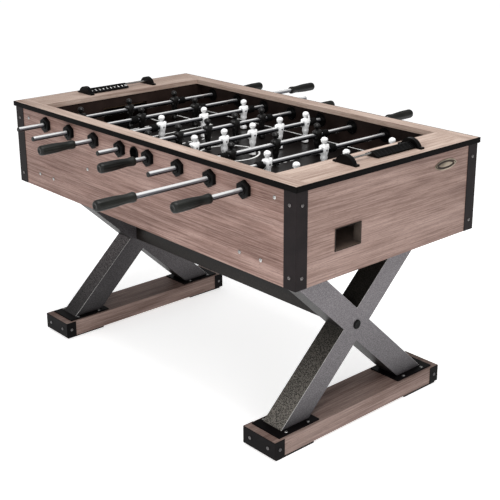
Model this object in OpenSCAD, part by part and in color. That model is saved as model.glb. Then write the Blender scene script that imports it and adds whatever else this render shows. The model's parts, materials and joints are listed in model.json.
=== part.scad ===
// Foosball table on steel X frames: eight sliding and turning rods, two abacus scorers.
// +X runs along the cabinet, +Y across it along the rods, +Z up; the floor is z = 0.

/* [Cabinet] */
// Length of the top frame, over its edge band
table_l = 1474; // [1450:2:1560]
// Width of the top frame, over its edge band
table_w = 800; // [780:2:840]
// Height of the top surface above the floor
table_h = 877; // [860:1:900]
// Thickness of the top frame
top_t = 17; // [12:1:22]
// Width of the rails along the sides of the top frame
side_rail_w = 54; // [48:1:60]
// Width of the rails across the ends of the top frame
end_rail_w = 137; // [130:1:150]
// Thickness of the black edge band
band_t = 4; // [2:0.5:6]
// How far the top frame stands out past the cabinet
overhang = 8; // [4:1:12]
// Thickness of the side and end panels
panel_t = 25; // [22:1:28]
// Height of the side and end panels
panel_h = 283; // [270:1:300]
// Thickness of the playfield board
field_t = 18; // [12:1:22]
// Thickness of the walls that hold the goals
goal_wall_t = 15; // [12:1:18]
// Width of the goal mouth
goal_w = 200; // [180:2:220]
// Height of the goal mouth above the playfield
goal_h = 72; // [60:1:76]

/* [Rods] */
// Diameter of the steel rods
rod_d = 16; // [14:0.5:17]
// Distance between neighbouring rods
rod_pitch = 150; // [148:1:152]
// Height of the rods above the playfield
rod_rise = 71; // [71:1:78]
// Diametral play of a rod in its bearings and bumpers
rod_play = 0.16; // [0.04:0.02:0.2]
// Across-flats size of the bearing nuts on the outside
nut_af = 48; // [44:1:52]
// Thickness of the bearing nuts
nut_t = 14; // [10:1:16]
// Diameter of the bearing flanges on the inside
flange_d = 50; // [40:1:54]
// Thickness of the bearing flanges
flange_t = 8; // [5:1:10]
// Length of a handle
grip_l = 128; // [110:1:130]
// Largest diameter of a handle
grip_d = 33; // [28:1:36]
// Length of a rubber bumper
bumper_l = 25; // [18:1:28]
// Diameter of a rubber bumper
bumper_d = 27; // [22:1:30]

/* [Players] */
// Diameter of a player's head
head_d = 24; // [22:1:26]
// Height of a player's head top above the rod
head_top = 42; // [41:1:45]
// Depth of a player's foot sole below the rod
foot_drop = 68; // [64:1:68]
// Width across a player's shoulders
shoulder_w = 42; // [34:1:44]

/* [Frame] */
// Width of the X frame tubes in the plane of the X
tube_w = 80; // [70:1:84]
// Depth of the X frame tubes along the table
tube_d = 80; // [70:1:84]
// Slope of the X frame tubes from the floor
tube_slope = 43.3; // [42:0.1:46]
// Height of the crossing of the X above the floor
cross_z = 320; // [310:1:330]
// Distance from the table's centre to an X frame's outer face
frame_x = 604; // [600:1:610]
// Length of the floor beams across the table
beam_l = 760; // [740:2:800]
// Width of the floor beams
beam_w = 142; // [130:1:146]
// Height of the floor beams above their pads
beam_h = 57; // [50:1:62]
// Thickness of the rubber pads under the floor beams
pad_t = 8; // [4:1:12]

/* [Scorers] */
// Counters on each scorer
counter_n = 10; // [8:1:11]
// Distance between the inner faces of a scorer's brackets
scorer_span = 268; // [262:2:300]
// Width of a scorer counter at its foot
counter_w = 52; // [44:1:56]

/* [Hidden] */
$fn = 64;
RODS = 8;
// Men on each rod, the distance between them, the side of the handle (-1 is -Y) and the team.
men_n = [3, 2, 3, 5, 5, 3, 2, 3];
men_gap = [211, 246, 190, 125, 125, 190, 246, 211];
grip_side = [1, 1, -1, 1, -1, 1, -1, -1];
team = ["black", "black", "white", "black", "white", "black", "white", "white"];
// How far each rod is pushed along +Y from its middle position.
rod_shift = [-38, 31, 75, -32, 40, 6, -47, 17];
// Reach of each rod from the middle of its men, to the handle's end and to the free end.
grip_reach = [663, 746, 675, 615, 615, 675, 742, 663];
tip_reach = [468, 568, 512, 450, 450, 512, 568, 468];

half_l = table_l / 2;
half_w = table_w / 2;
cab_x = half_l - overhang;                // outer faces of the end panels
cab_y = half_w - overhang;                // outer faces of the side panels
wall_y = cab_y - panel_t;                 // inner faces of the side panels
top_z0 = table_h - top_t;                 // underside of the top frame
cab_z0 = top_z0 - panel_h;                // underside of the cabinet
open_x = half_l - end_rail_w;             // half length of the opening in the top frame
open_y = half_w - side_rail_w;            // half width of the opening in the top frame
goal_x = open_x + 3;                      // playing face of the goal walls
rod_z = table_h - 53;                     // height of the rods' axes
field_z = rod_z - rod_rise;               // playing surface
goal_back = goal_x + goal_wall_t;         // back face of the goal walls
end_in = cab_x - panel_t;                 // inner faces of the end panels
band_seam = 0.2;

sleeve_d = 30;                            // outside of the bearing sleeves
sleeve_proud = 2;                         // sleeve past its nut
plug_head = 3;                            // plastic plug in a rod's free end
plug_stem = 10;
plug_stem_d = 8;
grip_wall = 8;                            // solid end of a handle past the rod
fit = 0.1;                                // diametral gap of a part pressed or pinned in place

serve_d = 36;                             // bore of the ball serve cups
serve_wall = 2;
serve_rim = 44;

return_y = -188;                          // middle of the ball return, on the +X end
return_z = 690;
return_w = 106;
return_h = 67;
return_wall = 3;
return_lip = 2;

bolt_d = 6;                               // bolts through the side panels
bolt_head_d = 12;
bolt_head_t = 3.5;
bolt_grip = 50;
leg_rail_x = [500, 590];                  // cross rails that carry the X frames
leg_rail_h = 83;
leg_bolt_z = cab_z0 + 54;
field_rail_x = 275;                       // cross rails under the playfield
field_rail_h = 40;
field_bolt_z = field_z - 39;
end_rail_x = 646;                         // cross rails under the end of the top frame
end_bolt_z = top_z0 - 32;
end_rail_z = top_z0 - 48;
rail_t = 20;

angle_x = 46;                             // flange of a corner bracket along the side panel
angle_y = 42;                             // flange of a corner bracket along the end panel
angle_t = 2;
screw_d = 11;
screw_t = 2.5;

foot_y = tube_w / 2 / sin(tube_slope) + (cross_z - pad_t - beam_h) / tan(tube_slope);
beam_x = frame_x - 37;                    // middle of a floor beam
plate_t = 5;
plate_x = 122;
plate_y = 170;
plate_mid = foot_y - 60;
beam_top = pad_t + beam_h;
cap_wrap = 41;                            // length of a floor beam's end cap
cap_t = 2;
tube_low = beam_top + plate_t;            // ends of the X frame tubes
tube_high = cab_z0 - plate_t;
tube_wall = 3;
weld_gap = 0.1;
stretcher_w = 60;
stretcher_z = 311;

bracket_w = 90;
bracket_t = 16;
bracket_h = 28;
bracket_foot = 6;
dome_r = 38;
scorer_x = 665;                           // line of the scorers, from the table's centre
scorer_y = 8;                             // their middle
scorer_rise = 12;                         // scorer rods above the top frame
scorer_rod_d = 6;
counter_pitch = 17;
counter_gap = 0.4;
counter_lift = 2;
counter_top_r = 6.5;

// ---------- helpers ----------

// A box from one corner to the opposite one.
module block(low, high) {
    translate(low) cube(high - low);
}

// A round bar along +Y from y = a.
module bar_y(d, a, length) {
    translate([0, a, 0]) rotate([-90, 0, 0]) cylinder(d = d, h = length);
}

// A copy at each end of the table, turned half way round.
module both_ends() {
    for (turn = [0, 180]) rotate(turn) children();
}

// A copy in each of the four corners, mirrored.
module four_corners() {
    for (sx = [0, 1]) mirror([sx, 0, 0])
        for (sy = [0, 1]) mirror([0, sy, 0]) children();
}

function rod_x(i) = (i - (RODS - 1) / 2) * rod_pitch;
function man_y(i, k) = rod_shift[i] + (k - (men_n[i] - 1) / 2) * men_gap[i];

// Every bolt through a side panel, as [x, z] on the +X half.
bolt_spots = [
    [leg_rail_x[0], leg_bolt_z], [leg_rail_x[1], leg_bolt_z],
    [field_rail_x, field_bolt_z], [end_rail_x, end_bolt_z]
];

// The shanks of the panel bolts, grown by a gap for the holes that they sit in.
module bolt_shanks(gap) {
    four_corners() for (spot = bolt_spots)
        translate([spot[0], 0, spot[1]]) bar_y(bolt_d + gap, cab_y - bolt_grip, bolt_grip + gap);
}

// ---------- cabinet ----------

module side_panel(side) {
    color([0.62, 0.53, 0.48]) difference() {
        translate([-cab_x, side < 0 ? -cab_y : wall_y, cab_z0]) cube([2 * cab_x, panel_t, panel_h]);
        for (i = [0:RODS - 1])
            translate([rod_x(i), 0, rod_z]) bar_y(sleeve_d + fit, -half_w, table_w);
        translate([0, 0, rod_z]) bar_y(serve_d + 2 * serve_wall + fit, -half_w, table_w);
        bolt_shanks(fit);
    }
}

module side_panel_near() { side_panel(-1); }

module side_panel_far() { side_panel(1); }

module end_panel() {
    color([0.62, 0.53, 0.48]) difference() {
        block([end_in, -wall_y, cab_z0], [cab_x, wall_y, top_z0]);
        translate([half_l - panel_t, return_y, return_z])
            cube([3 * panel_t, return_w, return_h], center = true);
    }
}

module end_panel_pos() { end_panel(); }

module end_panel_neg() { rotate(180) end_panel(); }

module goal_walls() {
    color([0.07, 0.06, 0.06]) both_ends() difference() {
        block([goal_x, -wall_y, cab_z0 + 110], [goal_back, wall_y, top_z0]);
        block([goal_x - 1, -goal_w / 2, field_z], [goal_back + 1, goal_w / 2, field_z + goal_h]);
    }
}

module playfield() {
    color([0.08, 0.08, 0.09])
        block([-goal_x, -wall_y, field_z - field_t], [goal_x, wall_y, field_z]);
}

module top_side_rails() {
    color([0.78, 0.70, 0.62]) for (side = [0, 1]) mirror([0, side, 0])
        block([-half_l + band_t, open_y, top_z0], [half_l - band_t, half_w - band_t, table_h]);
}

module top_end_rails() {
    color([0.78, 0.70, 0.62]) both_ends()
        block([open_x, -open_y, top_z0], [half_l - band_t, open_y, table_h]);
}

// Four strips, with a hairline seam at each corner.
module edge_bands() {
    end_y = half_w - band_t - band_seam;
    color([0.06, 0.05, 0.05]) both_ends() {
        block([-half_l, half_w - band_t, top_z0], [half_l, half_w, table_h]);
        block([half_l - band_t, -end_y, top_z0], [half_l, end_y, table_h]);
    }
}

module corner_brackets() {
    color([0.12, 0.11, 0.12]) four_corners() difference() {
        block([cab_x - angle_x, cab_y - angle_y, cab_z0], [cab_x + angle_t, cab_y + angle_t, top_z0]);
        block([0, 0, 0], [cab_x, cab_y, table_h]);
    }
}

module cross_rails() {
    color([0.45, 0.38, 0.32]) difference() {
        both_ends() {
            for (x = leg_rail_x)
                block([x - rail_t / 2, -wall_y, cab_z0], [x + rail_t / 2, wall_y, cab_z0 + leg_rail_h]);
            block([field_rail_x - rail_t / 2, -wall_y, field_z - field_t - field_rail_h],
                [field_rail_x + rail_t / 2, wall_y, field_z - field_t]);
            block([end_rail_x - rail_t / 2, -wall_y, end_rail_z],
                [end_rail_x + rail_t / 2, wall_y, top_z0]);
        }
        bolt_shanks(fit);
    }
}

// Flanged bushing inside the wall and hex nut outside it, one pair at each side of every rod.
module rod_bearings() {
    color([0.05, 0.05, 0.05])
        for (i = [0:RODS - 1], side = [0, 1]) mirror([0, side, 0]) translate([rod_x(i), 0, rod_z]) {
            difference() {
                union() {
                    bar_y(flange_d, wall_y - flange_t, flange_t);
                    bar_y(sleeve_d, wall_y - 1, panel_t + nut_t + sleeve_proud + 1);
                }
                bar_y(rod_d + rod_play, 0, half_w + panel_t);
            }
            difference() {
                translate([0, cab_y, 0]) rotate([-90, 0, 0])
                    cylinder(d = nut_af / cos(30), h = nut_t, $fn = 6);
                bar_y(sleeve_d + fit, 0, half_w + panel_t);
            }
        }
}

// Round cups through the side panels, where the ball is put into play.
module serve_cups() {
    color([0.04, 0.04, 0.04]) for (side = [0, 1]) mirror([0, side, 0]) translate([0, 0, rod_z])
        difference() {
            union() {
                bar_y(serve_rim, cab_y, 4);
                bar_y(serve_d + 2 * serve_wall, wall_y, panel_t + 1);
            }
            bar_y(serve_d, 0, half_w + panel_t);
        }
}

// Moulded ball return: a tray behind the goal that ends in a lined hole through the end panel.
module ball_return() {
    low_z = return_z - return_h / 2;
    high_z = field_z - 24;
    far_y = goal_w / 2 + 12;
    y0 = return_y - return_w / 2;
    y1 = return_y + return_w / 2;
    difference() {
        union() {
            block([end_in, y0, low_z], [cab_x, y1, low_z + return_h]);
            block([cab_x, y0 - return_lip, low_z - return_lip],
                [cab_x + 2.5, y1 + return_lip, low_z + return_h + return_lip]);
        }
        block([end_in - 1, y0 + return_wall, low_z + return_wall],
            [half_l + 9, y1 - return_wall, low_z + return_h - return_wall]);
    }
    translate([goal_back + 1, 0, 0]) rotate([90, 0, 90]) linear_extrude(end_in - goal_back - 1)
        polygon([
            [y0, low_z], [y1, low_z], [far_y, high_z - 4], [far_y, high_z + 30],
            [far_y - 4, high_z + 30], [far_y - 4, high_z], [y1, low_z + return_wall],
            [y0 + return_wall, low_z + return_wall], [y0 + return_wall, high_z + 30], [y0, high_z + 30]
        ]);
}

module ball_returns() { color([0.05, 0.05, 0.05]) both_ends() ball_return(); }

// Plain oval plate with a rivet at each end.
module badge_plate() {
    badge_w = 106;
    badge_h = 34;
    color([0.75, 0.72, 0.68]) translate([cab_x, 240, rod_z - 6]) rotate([90, 0, 90]) {
        linear_extrude(1.5) {
            square([badge_w - badge_h, badge_h], center = true);
            for (s = [-1, 1]) translate([s * (badge_w - badge_h) / 2, 0]) circle(d = badge_h);
        }
        for (s = [-1, 1]) translate([s * (badge_w - badge_h) / 2, 0, 1.5]) cylinder(d = 6, h = 1.5);
    }
}

// ---------- legs ----------

// One tube of an X, leaning towards +Y, or the space inside it when inset by the wall.
module leaning_tube(inset) {
    half = (tube_w / 2 - inset) / sin(tube_slope);
    low = tube_low - (inset > 0 ? 1 : 0);
    high = tube_high + (inset > 0 ? 1 : 0);
    translate([frame_x - tube_d + inset, 0, 0]) rotate([90, 0, 90])
        linear_extrude(tube_d - 2 * inset) polygon([
            for (z = [low, high]) [(z - cross_z) / tan(tube_slope) - half, z],
            for (z = [high, low]) [(z - cross_z) / tan(tube_slope) + half, z]
        ]);
}

// Two hollow tubes welded into an X, with a base plate on the floor beam and a top plate under
// the cabinet at the ends of each. The plates are solids of their own, a hairline off the tubes.
module x_frame() {
    top_mid = (tube_high - cross_z) / tan(tube_slope);
    difference() {
        for (lean = [0, 1]) mirror([0, lean, 0]) leaning_tube(0);
        for (lean = [0, 1]) mirror([0, lean, 0]) leaning_tube(tube_wall);
    }
    for (side = [0, 1]) mirror([0, side, 0]) {
        block([beam_x - plate_x / 2, plate_mid - plate_y / 2, beam_top],
            [beam_x + plate_x / 2, plate_mid + plate_y / 2, tube_low - weld_gap]);
        block([leg_rail_x[0] - rail_t / 2, top_mid - 72, tube_high + weld_gap],
            [frame_x + 6, top_mid + 72, cab_z0]);
    }
}

module x_frame_pos() { color([0.30, 0.29, 0.30]) x_frame(); }

module x_frame_neg() { color([0.30, 0.29, 0.30]) rotate(180) x_frame(); }

module frame_caps() {
    color([0.04, 0.04, 0.04]) both_ends()
        translate([frame_x, 0, cross_z]) rotate([0, 90, 0]) cylinder(d = 31, h = 4);
}

// Hollow square beam between the crossings of the two X frames.
module stretcher() {
    reach = frame_x - tube_d;
    color([0.13, 0.11, 0.10]) translate([-reach, 0, stretcher_z + stretcher_w / 2])
        rotate([90, 0, 90]) linear_extrude(2 * reach) difference() {
            square(stretcher_w, center = true);
            square(stretcher_w - 2 * tube_wall, center = true);
        }
}

module floor_beams() {
    color([0.62, 0.53, 0.48]) both_ends()
        block([beam_x - beam_w / 2 + cap_t, cap_t - beam_l / 2, pad_t],
            [beam_x + beam_w / 2 - cap_t, beam_l / 2 - cap_t, beam_top]);
}

// Steel bands round the ends of the floor beams, open above and below.
module beam_caps() {
    color([0.05, 0.05, 0.05]) four_corners() difference() {
        block([beam_x - beam_w / 2, beam_l / 2 - cap_wrap, pad_t], [beam_x + beam_w / 2, beam_l / 2, beam_top]);
        block([beam_x - beam_w / 2 + cap_t, 0, 0],
            [beam_x + beam_w / 2 - cap_t, beam_l / 2 - cap_t, table_h]);
    }
}

module foot_pads() {
    color([0.04, 0.04, 0.04]) four_corners()
        block([beam_x - beam_w / 2 + 8, beam_l / 2 - 168, 0], [beam_x + beam_w / 2 - 4, beam_l / 2 - 9, pad_t]);
}

// ---------- fasteners ----------

// A low round screw head that stands on a face, pointing up its own +Z.
module screw_head() {
    cylinder(d1 = screw_d, d2 = screw_d * 0.6, h = screw_t);
}

module dark_screws() {
    color([0.10, 0.10, 0.10]) four_corners() {
        for (z = [cab_z0 + 35, top_z0 - 40]) {
            translate([cab_x - angle_x / 2, cab_y + angle_t, z]) rotate([-90, 0, 0]) screw_head();
            translate([cab_x + angle_t, cab_y - angle_y / 2, z]) rotate([0, 90, 0]) screw_head();
        }
        for (sx = [-1, 1], sy = [-1, 1])
            translate([beam_x + sx * 50, plate_mid + sy * 46, beam_top + plate_t]) screw_head();
        for (sx = [-1, 1]) {
            translate([beam_x + sx * 40, beam_l / 2, pad_t + beam_h / 2]) rotate([-90, 0, 0]) screw_head();
            translate([beam_x + sx * beam_w / 2, beam_l / 2 - cap_wrap / 2, pad_t + beam_h / 2])
                rotate([0, sx * 90, 0]) screw_head();
        }
    }
}

module panel_bolts() {
    color([0.80, 0.80, 0.80]) {
        bolt_shanks(0);
        four_corners() for (spot = bolt_spots) translate([spot[0], 0, spot[1]])
            bar_y(bolt_head_d, cab_y, bolt_head_t);
    }
}

// ---------- scorers ----------

// A copy at the middle of each scorer, on the top frame.
module both_scorers() {
    for (end = [-1, 1]) translate([end * scorer_x, scorer_y, table_h]) children();
}

// A dome that stands on a flat foot.
module bracket_outline() {
    translate([-bracket_w / 2, 0]) square([bracket_w, bracket_foot]);
    intersection() {
        translate([0, bracket_h - dome_r]) circle(r = dome_r);
        translate([-bracket_w / 2, 0]) square([bracket_w, bracket_h]);
    }
}

module scorer_brackets() {
    color([0.05, 0.05, 0.05]) both_scorers() for (side = [0, 1]) mirror([0, side, 0])
        translate([0, scorer_span / 2 + bracket_t, 0]) difference() {
            rotate([90, 0, 0]) linear_extrude(bracket_t) bracket_outline();
            translate([0, 0, scorer_rise]) bar_y(scorer_rod_d + fit, -2 * bracket_t, 2 * bracket_t - 3);
        }
}

module scorer_rods() {
    reach = scorer_span / 2 + bracket_t - 3;
    color([0.75, 0.75, 0.75]) both_scorers()
        translate([0, 0, scorer_rise]) bar_y(scorer_rod_d, -reach, 2 * reach);
}

// A counter's outline: wide at its foot and rounded over the rod.
module counter_outline() {
    foot = counter_lift - scorer_rise;
    polygon([
        [-counter_w / 2, foot], [counter_w / 2, foot], [counter_w / 2, foot + 4],
        [0.76 * counter_top_r, 0.65 * counter_top_r], [-0.76 * counter_top_r, 0.65 * counter_top_r],
        [-counter_w / 2, foot + 4]
    ]);
    circle(r = counter_top_r);
}

// The counters pushed together against one bracket.
module counters() {
    translate([0, scorer_span / 2 - counter_gap, table_h + scorer_rise])
        for (k = [0:counter_n - 1]) translate([0, -k * counter_pitch, 0]) rotate([90, 0, 0])
            linear_extrude(counter_pitch - counter_gap) difference() {
                counter_outline();
                circle(d = scorer_rod_d + fit);
            }
}

module scorer_pos_counters() {
    color([0.05, 0.05, 0.05]) translate([scorer_x, scorer_y, 0]) counters();
}

module scorer_neg_counters() {
    color([0.05, 0.05, 0.05]) translate([-scorer_x, scorer_y, 0]) rotate(180) counters();
}

// ---------- rods ----------

// Player hung on the rod: the rod runs along Y through the chest, the foot points down.
module man() {
    arm_d = 15;
    difference() {
        union() {
            translate([0, 0, head_top - head_d / 2]) sphere(d = head_d);
            rotate_extrude() polygon([
                [0, -22], [9, -22], [14, -8], [14, 8], [11, 16], [6, 19], [6, 24], [0, 24]
            ]);
            translate([0, 0, 10]) bar_y(arm_d, arm_d / 2 - shoulder_w / 2, shoulder_w - arm_d);
            for (side = [-1, 1]) translate([0, side * (shoulder_w - arm_d) / 2, -10])
                cylinder(d = arm_d, h = 20);
            for (side = [-1, 1]) translate([0, side * (shoulder_w - arm_d) / 2, 10])
                sphere(d = arm_d);
            rotate([90, 0, 0]) translate([0, 0, -9]) linear_extrude(18) polygon([
                [-9, -12], [9, -12], [6, -44], [11, -55], [11, -foot_drop],
                [-11, -foot_drop], [-11, -55], [-6, -44]
            ]);
        }
        bar_y(rod_d + fit, -shoulder_w, 2 * shoulder_w);
    }
}

// The outside surface of a handle, along +Z from its inner end.
module grip_shape() {
    r = grip_d / 2;
    rotate_extrude() polygon([
        [0, 0], [r - 3.5, 0], [r - 2, 4], [r - 2, 9], [r - 4.5, 18], [r - 4.5, 34], [r - 1.5, 56],
        [r, grip_l - 46], [r, grip_l - 10], [r - 1.5, grip_l - 4], [r - 5, grip_l], [0, grip_l]
    ]);
}

// Everything that a rod carries is drawn with its handle on +Y and mirrored where it isn't.
module on_rod(i) {
    translate([rod_x(i), rod_shift[i], rod_z]) mirror([0, (1 - grip_side[i]) / 2, 0]) children();
}

module rod_bar(i) {
    start = plug_head - tip_reach[i];
    color([0.80, 0.80, 0.82]) on_rod(i) difference() {
        bar_y(rod_d, start, grip_reach[i] - grip_wall - start);
        bar_y(plug_stem_d + fit, start - 1, plug_stem + 2);
    }
}

module rod_men(i) {
    color(team[i]) for (k = [0:men_n[i] - 1]) translate([rod_x(i), man_y(i, k), rod_z]) man();
}

// Handle on one end of the rod and flush plug in the other.
module rod_handle(i) {
    color([0.06, 0.06, 0.06]) on_rod(i) {
        difference() {
            translate([0, grip_reach[i] - grip_l, 0]) rotate([-90, 0, 0]) grip_shape();
            bar_y(rod_d + fit, 0, grip_reach[i] - grip_wall + fit);
        }
        bar_y(rod_d, -tip_reach[i], plug_head - fit);
        bar_y(plug_stem_d, -tip_reach[i], plug_head + plug_stem);
    }
}

// A rubber bumper outside each of the two outer men.
module rod_bumpers(i) {
    inner = (men_n[i] - 1) / 2 * men_gap[i] + shoulder_w / 2 + 0.5;
    color([0.05, 0.05, 0.05]) on_rod(i) for (side = [0, 1]) mirror([0, side, 0]) difference() {
        bar_y(bumper_d, inner, bumper_l);
        bar_y(rod_d + rod_play, inner - 1, bumper_l + 2);
    }
}

// ---------- assembly ----------

side_panel_near();
side_panel_far();
end_panel_pos();
end_panel_neg();
goal_walls();
playfield();
top_side_rails();
top_end_rails();
edge_bands();
corner_brackets();
cross_rails();
rod_bearings();
serve_cups();
ball_returns();
badge_plate();
x_frame_pos();
x_frame_neg();
frame_caps();
stretcher();
floor_beams();
beam_caps();
foot_pads();
dark_screws();
panel_bolts();
scorer_brackets();
scorer_rods();
scorer_pos_counters();
scorer_neg_counters();
for (i = [0:RODS - 1]) {
    name = str("rod_", i + 1);
    rod_bar(i);
    rod_men(i);
    rod_handle(i);
    rod_bumpers(i);
}
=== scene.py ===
import json
import math

import bmesh
import bpy
from mathutils import Matrix, Vector


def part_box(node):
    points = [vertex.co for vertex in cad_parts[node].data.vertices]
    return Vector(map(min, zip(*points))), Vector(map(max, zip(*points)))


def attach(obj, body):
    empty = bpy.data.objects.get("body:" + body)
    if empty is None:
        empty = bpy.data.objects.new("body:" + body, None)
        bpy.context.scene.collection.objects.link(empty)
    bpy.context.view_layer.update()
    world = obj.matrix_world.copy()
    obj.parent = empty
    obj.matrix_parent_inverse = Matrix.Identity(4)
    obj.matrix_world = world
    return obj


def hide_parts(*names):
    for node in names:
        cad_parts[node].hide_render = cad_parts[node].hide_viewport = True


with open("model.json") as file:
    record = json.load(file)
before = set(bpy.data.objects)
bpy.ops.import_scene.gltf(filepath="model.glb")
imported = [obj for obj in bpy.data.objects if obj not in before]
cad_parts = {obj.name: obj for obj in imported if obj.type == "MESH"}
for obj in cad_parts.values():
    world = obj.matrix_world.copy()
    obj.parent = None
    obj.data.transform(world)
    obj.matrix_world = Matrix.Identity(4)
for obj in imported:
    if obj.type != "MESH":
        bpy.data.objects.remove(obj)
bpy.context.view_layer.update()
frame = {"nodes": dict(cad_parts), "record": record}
nodes = frame["nodes"]
bodies = frame["record"]["behaviour"]["bodies"]
BODY_OF = {node: body for body, members in bodies.items() for node in members}
SLOT_OF = {s["node"]: s["material_slot"] for s in frame["record"]["subparts"]}

scene = bpy.context.scene
MM = 0.001
TURN = 2 * math.pi
X, Y, Z = Vector((1, 0, 0)), Vector((0, 1, 0)), Vector((0, 0, 1))


# ---------------------------------------------------------------- materials

def rgb(r, g, b):
    """Linear colour, with alpha, from 8-bit sRGB."""
    def linear(c):
        c /= 255
        return c / 12.92 if c <= 0.04045 else ((c + 0.055) / 1.055) ** 2.4
    return linear(r), linear(g), linear(b), 1.0


class Look:
    """A Principled material with procedural inputs."""

    def __init__(self, name, rough=0.5, metal=0.0, specular=0.5):
        self.material = bpy.data.materials.new(name)
        self.material.use_nodes = True
        self.tree = self.material.node_tree
        self.tree.nodes.clear()
        output = self.node("OutputMaterial")
        self.shader = self.node("BsdfPrincipled")
        self.shader.inputs["Roughness"].default_value = rough
        self.shader.inputs["Metallic"].default_value = metal
        self.shader.inputs["Specular IOR Level"].default_value = specular
        self.tree.links.new(self.shader.outputs["BSDF"], output.inputs["Surface"])
        self.place = self.node("TexCoord").outputs["Object"]

    def node(self, kind, **settings):
        made = self.tree.nodes.new("ShaderNode" + kind)
        for key, value in settings.items():
            setattr(made, key, value)
        return made

    def feed(self, socket, value):
        if isinstance(value, bpy.types.NodeSocket):
            self.tree.links.new(value, socket)
        else:
            socket.default_value = value

    def stretch(self, scale, shift=(0, 0, 0)):
        """The object's coordinates in metres, scaled along each axis."""
        made = self.node("Mapping")
        self.feed(made.inputs["Vector"], self.place)
        made.inputs["Location"].default_value = shift
        made.inputs["Scale"].default_value = scale
        return made.outputs["Vector"]

    def noise(self, where, scale=1.0, detail=3.0, rough=0.5, warp=0.0):
        made = self.node("TexNoise")
        self.feed(made.inputs["Vector"], where)
        made.inputs["Scale"].default_value = scale
        made.inputs["Detail"].default_value = detail
        made.inputs["Roughness"].default_value = rough
        made.inputs["Distortion"].default_value = warp
        return made.outputs["Fac"]

    def cells(self, where, scale):
        made = self.node("TexVoronoi", feature="SMOOTH_F1")
        self.feed(made.inputs["Vector"], where)
        made.inputs["Scale"].default_value = scale
        made.inputs["Smoothness"].default_value = 0.6
        return made.outputs["Distance"]

    def ramp(self, value, *stops):
        """Colour stops as (position, colour); a plain number stands for a grey."""
        made = self.node("ValToRGB")
        self.feed(made.inputs["Fac"], value)
        band = made.color_ramp
        for extra in range(len(stops) - 2):
            band.elements.new(0.5)
        for element, (position, colour) in zip(band.elements, stops):
            element.position = position
            element.color = colour if isinstance(colour, tuple) else (colour, colour, colour, 1)
        return made.outputs["Color"]

    def math(self, operation, first, second=0.0):
        made = self.node("Math", operation=operation)
        self.feed(made.inputs[0], first)
        self.feed(made.inputs[1], second)
        return made.outputs[0]

    def mix(self, amount, first, second):
        """Colours mixed by an amount. The colour sockets of a Mix node share their names with
        others, so they go by number."""
        made = self.node("Mix", data_type="RGBA")
        self.feed(made.inputs[0], amount)
        self.feed(made.inputs[6], first)
        self.feed(made.inputs[7], second)
        return made.outputs[2]

    def colour(self, value):
        self.feed(self.shader.inputs["Base Color"], value)
        return self

    def roughness(self, value):
        self.feed(self.shader.inputs["Roughness"], value)
        return self

    def bump(self, height, strength, depth):
        """Raises the surface by up to depth metres."""
        made = self.node("Bump")
        made.inputs["Strength"].default_value = strength
        made.inputs["Distance"].default_value = depth
        self.feed(made.inputs["Height"], height)
        if self.shader.inputs["Normal"].is_linked:
            self.feed(made.inputs["Normal"], self.shader.inputs["Normal"].links[0].from_socket)
        self.feed(self.shader.inputs["Normal"], made.outputs["Normal"])
        return self


def along(axis, lengthwise, across):
    """A scale that stretches a texture along one axis."""
    return tuple(lengthwise if i == axis else across for i in range(3))


def laminate(name, grain, dark, middle, light, seed, rough=0.5):
    """Printed wood grain that runs along one axis: broad soft figure, fine streaks, short pores."""
    look = Look(name, specular=0.2)
    shift = (seed, seed * 1.7, seed * 0.6)
    figure = look.noise(look.stretch(along(grain, 1.3, 8), shift), detail=4, rough=0.55, warp=1.2)
    bands = look.noise(look.stretch(along(grain, 0.9, 38), shift), detail=3, rough=0.6, warp=0.9)
    streaks = look.noise(look.stretch(along(grain, 5, 280), shift), detail=5, rough=0.74, warp=0.3)
    pores = look.noise(look.stretch(along(grain, 60, 900), shift), detail=2, rough=0.5)
    base = look.ramp(streaks, (0.42, dark), (0.5, middle), (0.6, light))
    banded = look.mix(0.3, base, look.ramp(bands, (0.42, dark), (0.52, middle), (0.6, light)))
    figured = look.mix(0.35, banded, look.ramp(figure, (0.4, dark), (0.52, middle), (0.62, light)))
    pore_mask = look.ramp(pores, (0.32, 1.0), (0.44, 0.0))
    look.colour(look.mix(look.math("MULTIPLY", pore_mask, 0.45), figured, dark))
    look.roughness(look.ramp(streaks, (0.3, rough + 0.08), (0.7, rough - 0.06)))
    look.bump(streaks, 0.1, 0.0003)
    return look.material


def painted(name, dark, light, rough=0.45, grain=900, bump=0.15, specular=0.15):
    """Fine-grained paint or moulded plastic with slow changes of tone."""
    look = Look(name, rough=rough, specular=specular)
    slow = look.noise(look.stretch((1, 1, 1)), scale=9, detail=4, rough=0.6)
    fine = look.noise(look.stretch((1, 1, 1)), scale=grain, detail=2, rough=0.6)
    tone = look.math("ADD", look.math("MULTIPLY", slow, 0.7), look.math("MULTIPLY", fine, 0.3))
    look.colour(look.ramp(tone, (0.35, dark), (0.68, light)))
    look.roughness(look.ramp(slow, (0.3, rough - 0.06), (0.7, rough + 0.08)))
    look.bump(fine, bump, 0.0003)
    return look.material


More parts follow.
